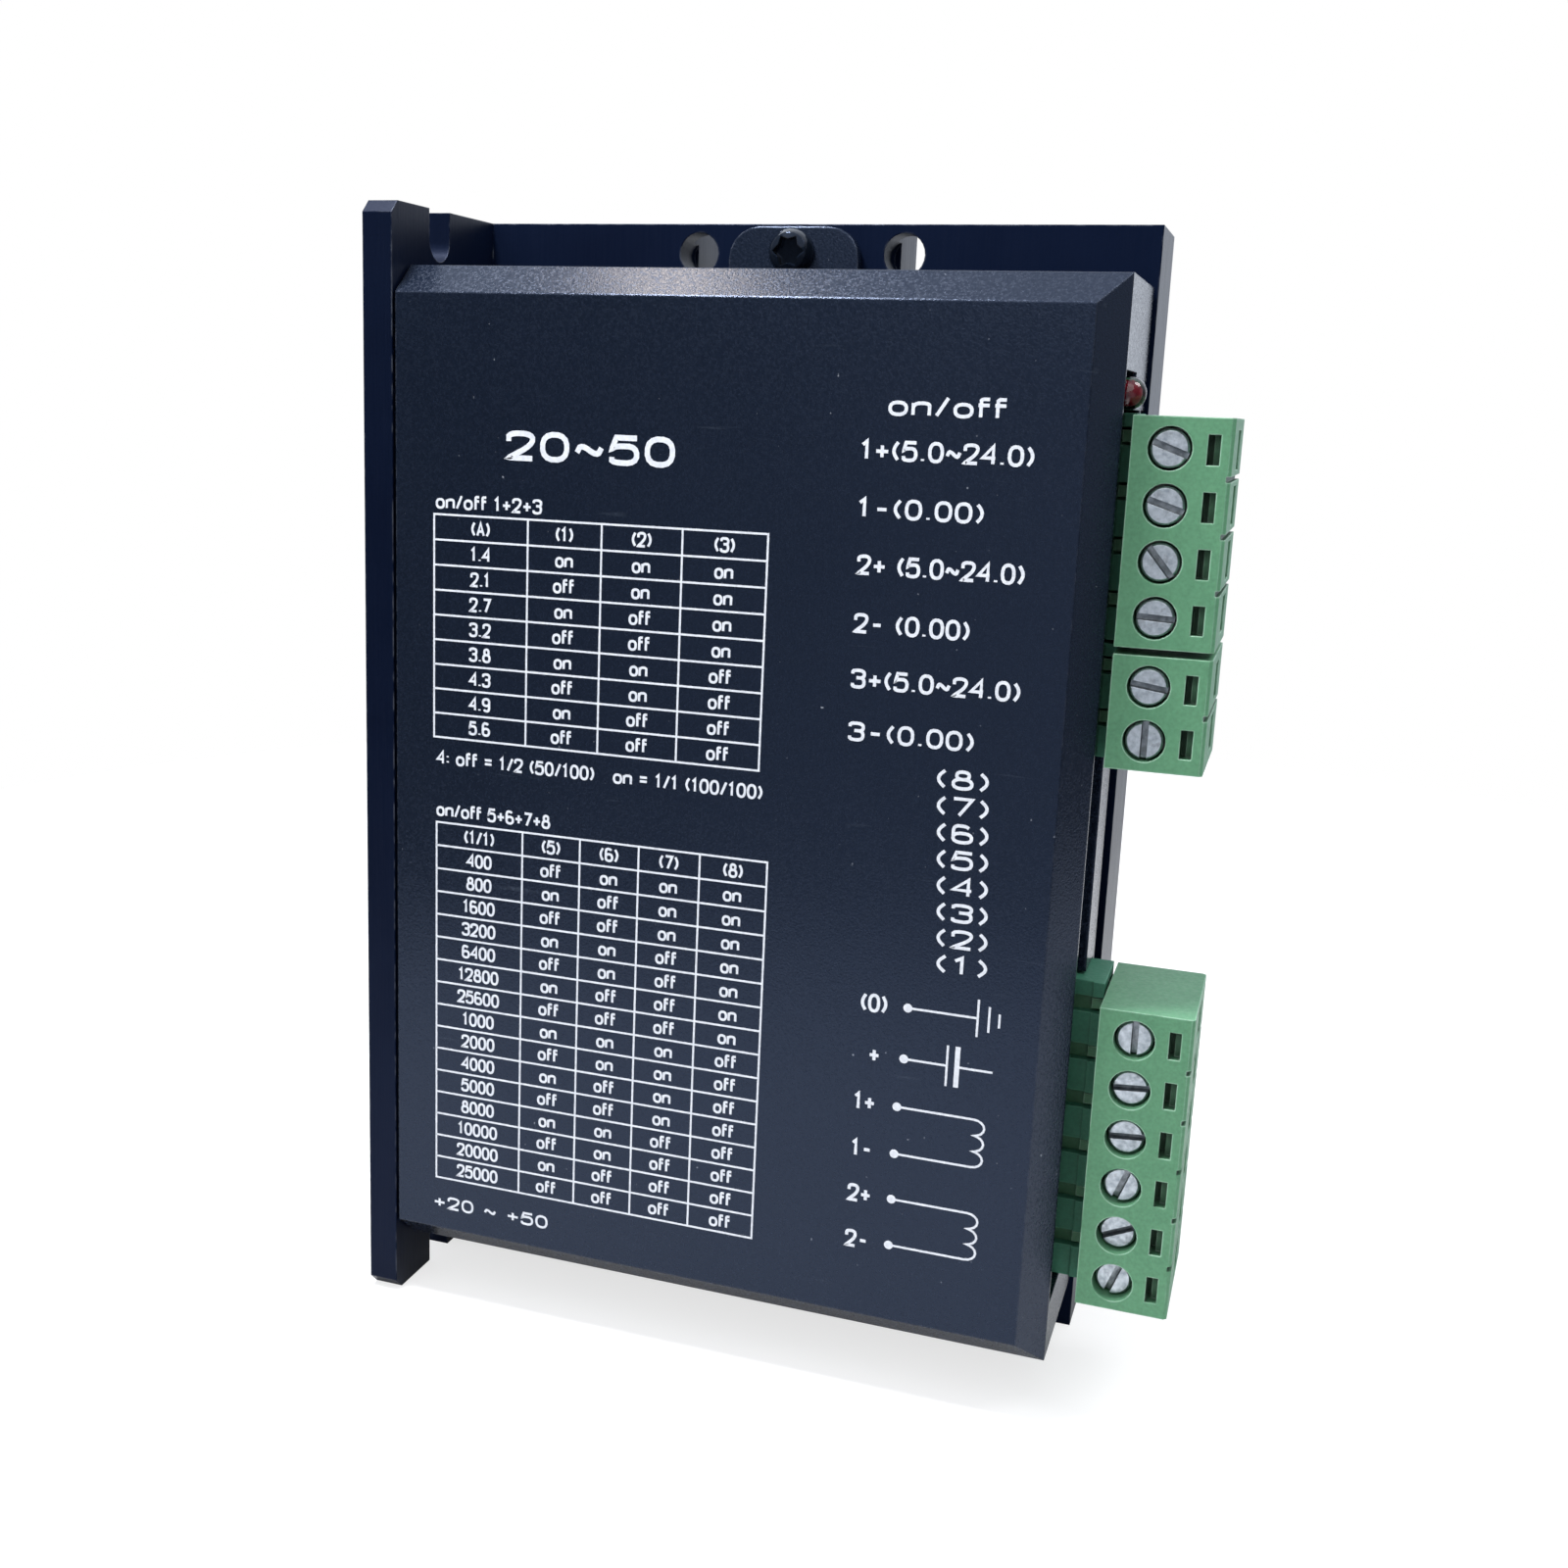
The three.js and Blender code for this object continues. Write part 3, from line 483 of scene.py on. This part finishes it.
class Print:
    """Ink on the cover's front face, collected in one mesh."""

    def __init__(self, name):
        self.name = name
        self.mesh = bmesh.new()
        self.strokes = 0

    def ribbon(self, points, width, closed=False):
        """A stroke of even width along a line of (x, z) points, with mitred corners."""
        rings = []
        last = len(points) - 1
        self.strokes += 1
        for i, point in enumerate(points):
            into = point - points[i - 1] if closed or i > 0 else Vector((0, 0))
            out = points[(i + 1) % len(points)] - point if closed or i < last else Vector((0, 0))
            into.normalize()
            out.normalize()
            along = (into + out).normalized()
            straight = along.dot(into if into.length else out)
            side = Vector((-along.y, along.x)) * width / 2 / max(straight, MITRE_LIMIT)
            corners = [(point + side, -1), (point - side, -1), (point - side, 1), (point + side, 1)]
            height = INK_HEIGHT + INK_STEP * ((i + self.strokes) % INK_LEVELS)
            rings.append([
                self.mesh.verts.new(at(c.x, FRONT_Y + face * height, c.y))
                for c, face in corners
            ])
        pairs = list(zip(rings, rings[1:]))
        if closed:
            pairs.append((rings[-1], rings[0]))
        else:
            self.mesh.faces.new(rings[0])
            self.mesh.faces.new(reversed(rings[-1]))
        for ring, following in pairs:
            for i in range(len(ring)):
                j = (i + 1) % len(ring)
                self.mesh.faces.new((ring[j], ring[i], following[i], following[j]))

    def bar(self, x0, z0, x1, z1, width=RULE):
        """A straight stroke between two points."""
        self.ribbon([Vector((x0, z0)), Vector((x1, z1))], width)

    def frame(self, x0, z0, x1, z1):
        """The outline of a rectangle."""
        corners = [Vector(c) for c in ((x0, z0), (x1, z0), (x1, z1), (x0, z1))]
        self.ribbon(corners, RULE, closed=True)

    def dot(self, x, z, radius):
        """A filled dot, as a closed stroke round half its radius."""
        turns = [2 * math.pi * i / DOT_STEPS for i in range(DOT_STEPS)]
        centre = Vector((x, z))
        ring = [centre + Vector((math.cos(t), math.sin(t))) * radius / 2 for t in turns]
        self.ribbon(ring, radius, closed=True)

    def write(self, words, x0, x1, z, height, stroke):
        """Signs that fill the line from x0 to x1, with z at half their height."""
        unit = (x1 - x0) / line_room(words)
        x = x0 - unit * (1 - FILL) / 2
        for sign in words:
            room = ROOM.get(sign, 1) * unit
            corner = Vector((x + (room - FILL * unit) / 2, z - height / 2))
            scale = (FILL * unit / GRID[0], height / GRID[1])
            for shape, *spots in (line.split() for line in SIGNS[sign]):
                points = [corner + Vector((int(a) * scale[0], int(b) * scale[1])) for a, b in spots]
                if shape != "s":
                    points = rounded(points, shape == "o")
                self.ribbon(points, stroke, shape == "o")
            x += room

    def centred(self, words, x, z, height, stroke):
        """Signs about a middle x, in the proportions that PITCH gives."""
        half = line_room(words) * PITCH * height / 2
        self.write(words, x - half, x + half, z, height, stroke)

    def finish(self):
        """Turns the collected strokes into one piece of the scene."""
        bmesh.ops.recalc_face_normals(self.mesh, faces=self.mesh.faces)
        piece = add_object(self.name, self.mesh, MATERIALS["print"])
        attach(piece, "root")


# Heights of the signs and widths of their strokes.
TABLE_TEXT, TABLE_STROKE = 1.25, 0.25
LABEL_TEXT, LABEL_STROKE = 1.6, 0.32
TITLE_TEXT, TITLE_STROKE = 2.4, 0.54


def table(layer, columns, top, bottom, rows):
    """A ruled table: columns are the x of its upright lines, rows are lists of words."""
    step = (top - bottom) / len(rows)
    layer.frame(columns[0], bottom, columns[-1], top)
    for x in columns[1:-1]:
        layer.bar(x, bottom, x, top)
    for r, words in enumerate(rows):
        z = top - r * step
        if r:
            layer.bar(columns[0], z, columns[-1], z)
        for c, word in enumerate(words):
            middle = (columns[c] + columns[c + 1]) / 2
            layer.centred(word, middle, z - step / 2, TABLE_TEXT, TABLE_STROKE)


def switch_words(count, row):
    """On or off for each switch of one table row, counting down in binary from all on."""
    return ["off" if (row >> i) & 1 else "on" for i in range(count)]


# A line of print: its words, the x of its start and end, and the z of its middle.
TITLE = ("20~50", 16.3, 33.7, 94.6)
CURRENT_HEADING = ("on/off 1+2+3", 8.3, 19.9, 88.7)
CURRENT_NOTE = ("4: off = 1/2 (50/100)   on = 1/1 (100/100)", 8.4, 44.1, 62.2)
STEP_HEADING = ("on/off 5+6+7+8", 8.4, 21.3, 56.6)
STEP_NOTE = ("+20 ~ +50", 8.1, 21.7, 11.9)
# A table: its heads, the x of its upright lines, its top and bottom, and its first column.
CURRENT_HEADS = ["(A)", "(1)", "(2)", "(3)"]
CURRENT_TABLE = ([8.0, 18.5, 26.5, 35.0, 43.7], 87.4, 64.35)
CURRENTS = ["1.4", "2.1", "2.7", "3.2", "3.8", "4.3", "4.9", "5.6"]
STEP_HEADS = ["(1/1)", "(5)", "(6)", "(7)", "(8)"]
STEP_TABLE = ([8.3, 18.3, 24.8, 31.3, 37.9, 45.0], 55.2, 14.8)
STEPS = ["400", "800", "1600", "3200", "6400", "12800", "25600", "1000", "2000", "4000",
         "5000", "8000", "10000", "20000", "25000"]


def print_tables():
    """The range above, the current table with its note, and the step table with its note."""
    layer = Print("print_tables")
    layer.write(*TITLE, TITLE_TEXT, TITLE_STROKE)
    layer.write(*CURRENT_HEADING, TABLE_TEXT, TABLE_STROKE)
    rows = [[amps] + switch_words(len(CURRENT_HEADS) - 1, i) for i, amps in enumerate(CURRENTS)]
    table(layer, *CURRENT_TABLE, [CURRENT_HEADS] + rows)
    layer.write(*CURRENT_NOTE, TABLE_TEXT, TABLE_STROKE)
    layer.write(*STEP_HEADING, TABLE_TEXT, TABLE_STROKE)
    rows = [[steps] + switch_words(len(STEP_HEADS) - 1, i + 1) for i, steps in enumerate(STEPS)]
    table(layer, *STEP_TABLE, [STEP_HEADS] + rows)
    layer.write(*STEP_NOTE, TABLE_TEXT, TABLE_STROKE)
    layer.finish()


# Lines of print beside the terminals, from the top down.
TERMINAL_LABELS = [
    ("on/off", 54.9, 65.5, 99.8),
    ("1+(5.0~24.0)", 52.5, 68.3, 95.7),
    ("1-(0.00)", 52.5, 64.1, 90.4),
    ("2+ (5.0~24.0)", 52.7, 68.2, 85.1),
    ("2- (0.00)", 52.7, 63.5, 79.6),
    ("3+(5.0~24.0)", 52.7, 68.6, 74.3),
    ("3-(0.00)", 52.7, 64.6, 69.2),
]
# The switch numbers: how many, where the highest and the lowest start, and their width.
SWITCHES = 8
SWITCH_TOP = Vector((61.5, 65.5))
SWITCH_BOTTOM = Vector((62.6, 47.3))
SWITCH_WIDTH = 4.8


def print_labels():
    """Words beside the terminals and a number beside each switch."""
    layer = Print("print_labels")
    for words, x0, x1, z in TERMINAL_LABELS:
        layer.write(words, x0, x1, z, LABEL_TEXT, LABEL_STROKE)
    for i in range(SWITCHES):
        x, z = SWITCH_TOP.lerp(SWITCH_BOTTOM, i / (SWITCHES - 1))
        layer.write(f"({SWITCHES - i})", x, x + SWITCH_WIDTH, z, LABEL_TEXT, LABEL_STROKE)
    layer.finish()


SYMBOL_LINE = 0.22
DOT = 0.45
WAVE_STEPS = 8
# A lead: the x of its sign's middle, of its dot and of its far end.
EARTH_LEAD = (56.6, 60.0, 66.9)
CAPACITOR_LEAD = (56.9, 59.9, 64.2)
COIL_LEAD = (56.2, 59.5, 67.2)
EARTH_Z = 42.3
# The x and half height of each earth bar, and the x and thickness of each capacitor plate.
EARTH_BARS = ((66.9, 1.9), (68.0, 1.3), (69.0, 0.7))
CAPACITOR_Z = 37.0
CAPACITOR_PLATES = ((64.2, SYMBOL_LINE), (65.2, 0.5))
CAPACITOR_REACH = 2.1
CAPACITOR_END = 68.7
# Each coil's number with the z of its upper and lower lead.
COILS = (("1", 31.9, 26.9), ("2", 22.0, 17.0))
COIL_TURNS = 3
COIL_BULGE = 1.1


def wave(x, z_top, z_bottom, turns, bulge):
    """A coil symbol's edge: half circles bulging to the right, from the top down."""
    points = []
    step = (z_top - z_bottom) / turns
    for turn in range(turns):
        centre = z_top - (turn + 0.5) * step
        for i in range(WAVE_STEPS):
            angle = math.radians(90 - 180 * i / WAVE_STEPS)
            points.append(Vector((x + bulge * math.cos(angle), centre + step / 2 * math.sin(angle))))
    points.append(Vector((x, z_bottom)))
    return points


def lead(layer, words, z, places):
    """A sign with a dot beside it and a line from the dot."""
    middle, dot, end = places
    layer.centred(words, middle, z, LABEL_TEXT, LABEL_STROKE)
    layer.dot(dot, z, DOT)
    layer.bar(dot, z, end, z, SYMBOL_LINE)


def print_symbols():
    """Earth, capacitor and two coil symbols beside the power terminals."""
    layer = Print("print_symbols")
    lead(layer, "(0)", EARTH_Z, EARTH_LEAD)
    for x, half in EARTH_BARS:
        layer.bar(x, EARTH_Z + half, x, EARTH_Z - half, SYMBOL_LINE)
    lead(layer, "+", CAPACITOR_Z, CAPACITOR_LEAD)
    for x, thickness in CAPACITOR_PLATES:
        layer.bar(x, CAPACITOR_Z + CAPACITOR_REACH, x, CAPACITOR_Z - CAPACITOR_REACH, thickness)
    layer.bar(CAPACITOR_PLATES[-1][0], CAPACITOR_Z, CAPACITOR_END, CAPACITOR_Z, SYMBOL_LINE)
    for number, high, low in COILS:
        lead(layer, number + "+", high, COIL_LEAD)
        lead(layer, number + "-", low, COIL_LEAD)
        layer.ribbon(wave(COIL_LEAD[-1], high, low, COIL_TURNS, COIL_BULGE), SYMBOL_LINE)
    layer.finish()


print_tables()
print_labels()
print_symbols()

# ------------------------------------------------------------------- header pins

PIN = 0.9
PIN_BEVEL = 0.12
PIN_Y = 13.8
# How far the pins' ends stay inside their header's back and front.
PIN_BACK = 1.0
PIN_FRONT = 1.2
# The first and last clamp screw of each plug, whose heights the pins share.
CONNECTORS = {"signal": (1, 4), "enable": (5, 6), "power": (7, 12)}


def header_pins(name, first, last):
    """The square contact pins of one header, from its back wall towards the plug."""
    low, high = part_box(f"{name}_header")
    start, end = low.x + PIN_BACK * MM, high.x - PIN_FRONT * MM
    mesh = bmesh.new()
    for number in range(first, last + 1):
        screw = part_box(f"clamp_screw_{number}")
        z = (screw[0].z + screw[1].z) / 2
        pin = bmesh.ops.create_cube(mesh, size=1)["verts"]
        bmesh.ops.scale(mesh, vec=(end - start, PIN * MM, PIN * MM), verts=pin)
        bmesh.ops.translate(mesh, vec=((start + end) / 2, at(0, PIN_Y, 0).y, z), verts=pin)
    bmesh.ops.bevel(mesh, geom=mesh.edges[:], offset=PIN_BEVEL * MM, segments=1, affect="EDGES")
    piece = add_object(f"{name}_pins", mesh, MATERIALS["clamp"])
    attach(piece, "root")


for connector, (first_screw, last_screw) in CONNECTORS.items():
    header_pins(connector, first_screw, last_screw)

# ------------------------------------------------------------------ light core

CORE_RADIUS = 0.8
CORE_DEPTH = 4.0
CORE_COVER = 0.75
CORE_STEPS = 24
NOSE_STEPS = 6


def status_light_core():
    """The red filling of the status light: a round-nosed rod inside its clear resin."""
    low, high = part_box("status_light")
    tip = high.x - CORE_COVER * MM
    middle = (low + high) / 2
    radius = CORE_RADIUS * MM
    start = tip - CORE_DEPTH * MM
    arc = [math.radians(90 * i / NOSE_STEPS) for i in range(NOSE_STEPS + 1)]
    outline = [(tip - radius + radius * math.cos(a), radius * math.sin(a)) for a in arc]
    outline += [(start, radius), (start, 0)]
    mesh = bmesh.new()
    verts = [mesh.verts.new((x, middle.y, middle.z + r)) for x, r in outline]
    edges = [mesh.edges.new(pair) for pair in zip(verts, verts[1:])]
    bmesh.ops.spin(mesh, geom=verts + edges, cent=middle, axis=(1, 0, 0), angle=2 * math.pi,
                   steps=CORE_STEPS)
    bmesh.ops.remove_doubles(mesh, verts=mesh.verts, dist=WELD * MM)
    bmesh.ops.recalc_face_normals(mesh, faces=mesh.faces)
    piece = add_object("status_light_core", mesh, light_core())
    piece.data.shade_smooth()
    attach(piece, "root")


status_light_core()

# ------------------------------------------------------------------------- stage

WHITE = (1, 1, 1, 1)
# The floor's radius and centre in the frame's metres, a hair below the driver.
FLOOR_RADIUS = 0.26
FLOOR_CENTRE = Vector((0, 0.1, -0.05 * MM))
FLOOR_SIDES = 128
FLOOR_GLOW = 0.72
# What the driver sees of the floor: its grey and its faint glow.
FLOOR_GREY = (0.57, 0.57, 0.57, 1)
FLOOR_HAZE = 0.1


def floor_material():
    """A pale table top: nearly white to look at, and a soft grey in its light on the driver."""
    s = Shader("floor", Specular_IOR_Level=0.1, Emission_Color=WHITE,
               Emission_Strength=FLOOR_GLOW)
    s.color(s.mix(s.noise(60, detail=3), (0.3, 0.3, 0.3, 1), (0.33, 0.33, 0.33, 1)))
    s.roughness(s.ramp(s.noise(20, detail=2), 0.6, 0.7))
    nodes, links = s.tree.nodes, s.tree.links
    dim = nodes.new("ShaderNodeBsdfPrincipled")
    dim.inputs["Base Color"].default_value = FLOOR_GREY
    dim.inputs["Specular IOR Level"].default_value = 0.0
    dim.inputs["Emission Color"].default_value = WHITE
    dim.inputs["Emission Strength"].default_value = FLOOR_HAZE
    choose = nodes.new("ShaderNodeMixShader")
    links.new(nodes.new("ShaderNodeLightPath").outputs["Is Camera Ray"], choose.inputs["Fac"])
    links.new(dim.outputs["BSDF"], choose.inputs[1])
    links.new(s.principled.outputs["BSDF"], choose.inputs[2])
    links.new(choose.outputs["Shader"], nodes["Material Output"].inputs["Surface"])
    return s.material


def floor():
    """A round pale table top."""
    mesh = bmesh.new()
    bmesh.ops.create_circle(mesh, cap_ends=True, segments=FLOOR_SIDES, radius=FLOOR_RADIUS)
    top = add_object("floor", mesh, floor_material())
    top.location = FLOOR_CENTRE


# The sky is white to look at, but its light on the driver is dim, apart from three soft glows.
# Each has a middle, the cosines from the middle at which it starts and is full, and a strength.
SKY_COLOR = (0.84, 0.9, 1, 1)
SKY_DIM = 0.16
GLOWS = {
    "above_behind": ((-0.45, 0.5, 0.74), -0.2, 0.5, 1.0),
    "front": ((0.15, -0.93, -0.33), 0.72, 0.96, 0.55),
    "right": ((0.98, 0.1, 0.15), 0.9, 1.0, 0.4),
}


def sky():
    """White behind the driver, and the dim sky with its glows for the light on it."""
    world = bpy.data.worlds.new("sky")
    bpy.context.scene.world = world
    world.use_nodes = True
    nodes, links = world.node_tree.nodes, world.node_tree.links
    direction = nodes.new("ShaderNodeTexCoord").outputs["Generated"]
    strength = None
    for middle, start, full, glow in GLOWS.values():
        dot = nodes.new("ShaderNodeVectorMath")
        dot.operation = "DOT_PRODUCT"
        dot.inputs[1].default_value = middle
        links.new(direction, dot.inputs[0])
        fade = nodes.new("ShaderNodeMapRange")
        fade.interpolation_type = "SMOOTHSTEP"
        values = {"From Min": start, "From Max": full, "To Min": 0.0, "To Max": glow}
        for socket, value in values.items():
            fade.inputs[socket].default_value = value
        links.new(dot.outputs["Value"], fade.inputs["Value"])
        total = nodes.new("ShaderNodeMath")
        links.new(fade.outputs["Result"], total.inputs[0])
        if strength is None:
            total.inputs[1].default_value = SKY_DIM
        else:
            links.new(strength, total.inputs[1])
        strength = total.outputs["Value"]
    light = nodes["Background"]
    light.inputs["Color"].default_value = SKY_COLOR
    links.new(strength, light.inputs["Strength"])
    white = nodes.new("ShaderNodeBackground")
    white.inputs["Color"].default_value = WHITE
    choose = nodes.new("ShaderNodeMixShader")
    links.new(nodes.new("ShaderNodeLightPath").outputs["Is Camera Ray"], choose.inputs["Fac"])
    links.new(light.outputs["Background"], choose.inputs[1])
    links.new(white.outputs["Background"], choose.inputs[2])
    links.new(choose.outputs["Shader"], nodes["World Output"].inputs["Surface"])


# Each lamp's place, what it points at, its width in metres, its power in watts and its colour.
LAMPS = {
    "overhead": (at(-25, -42, 300), at(32, 2, 110), 0.05, 1.3, (1, 1, 1)),
    "glint": (at(-38, 40, 294), at(33, 2, 110), 0.026, 0.036, (1, 0.82, 0.64)),
    "front": (at(40, -400, 420), at(43, 0, 60), 0.6, 1.7, (1, 1, 1)),
    "side": (at(250, 10, 330), at(78, 8, 44), 0.15, 0.55, (1, 1, 1)),
}


def lamp(name, location, target, size, power, color):
    """A round area lamp that the camera doesn't see."""
    data = bpy.data.lights.new(name, "AREA")
    data.color = color
    data.shape = "DISK"
    data.size = size
    data.energy = power
    lamp_object = bpy.data.objects.new(name, data)
    lamp_object.location = location
    lamp_object.rotation_mode = "QUATERNION"
    lamp_object.rotation_quaternion = (target - location).to_track_quat("-Z", "Y")
    lamp_object.visible_camera = False
    bpy.context.scene.collection.objects.link(lamp_object)


# Camera: position, the way it looks, its right hand side, focal length, film width in mm, shift
# and the nearest and farthest distance it sees.
CAMERA_AT = at(93.3, -157.0, 99.0)
CAMERA_FORWARD = Vector((-0.3126, 0.9261, -0.2113))
CAMERA_RIGHT = Vector((0.9443, 0.3270, 0.0362))
LENS = 39.40
SENSOR = 36
SHIFT = (0.0375, -0.0031)
CLIP = (0.01, 20)


def camera():
    """The scene's camera, placed and turned as the values above say."""
    data = bpy.data.cameras.new("camera")
    data.lens = LENS
    data.sensor_width = SENSOR
    data.shift_x, data.shift_y = SHIFT
    data.clip_start, data.clip_end = CLIP
    holder = bpy.data.objects.new("camera", data)
    back = -CAMERA_FORWARD.normalized()
    right = (CAMERA_RIGHT - back * CAMERA_RIGHT.dot(back)).normalized()
    turn = Matrix((right, back.cross(right), back)).transposed().to_4x4()
    holder.matrix_world = Matrix.Translation(CAMERA_AT) @ turn
    bpy.context.scene.collection.objects.link(holder)
    bpy.context.scene.camera = holder


floor()
sky()
for lamp_name, settings in LAMPS.items():
    lamp(lamp_name, *settings)
camera()
bpy.context.scene.view_settings.view_transform = "Standard"
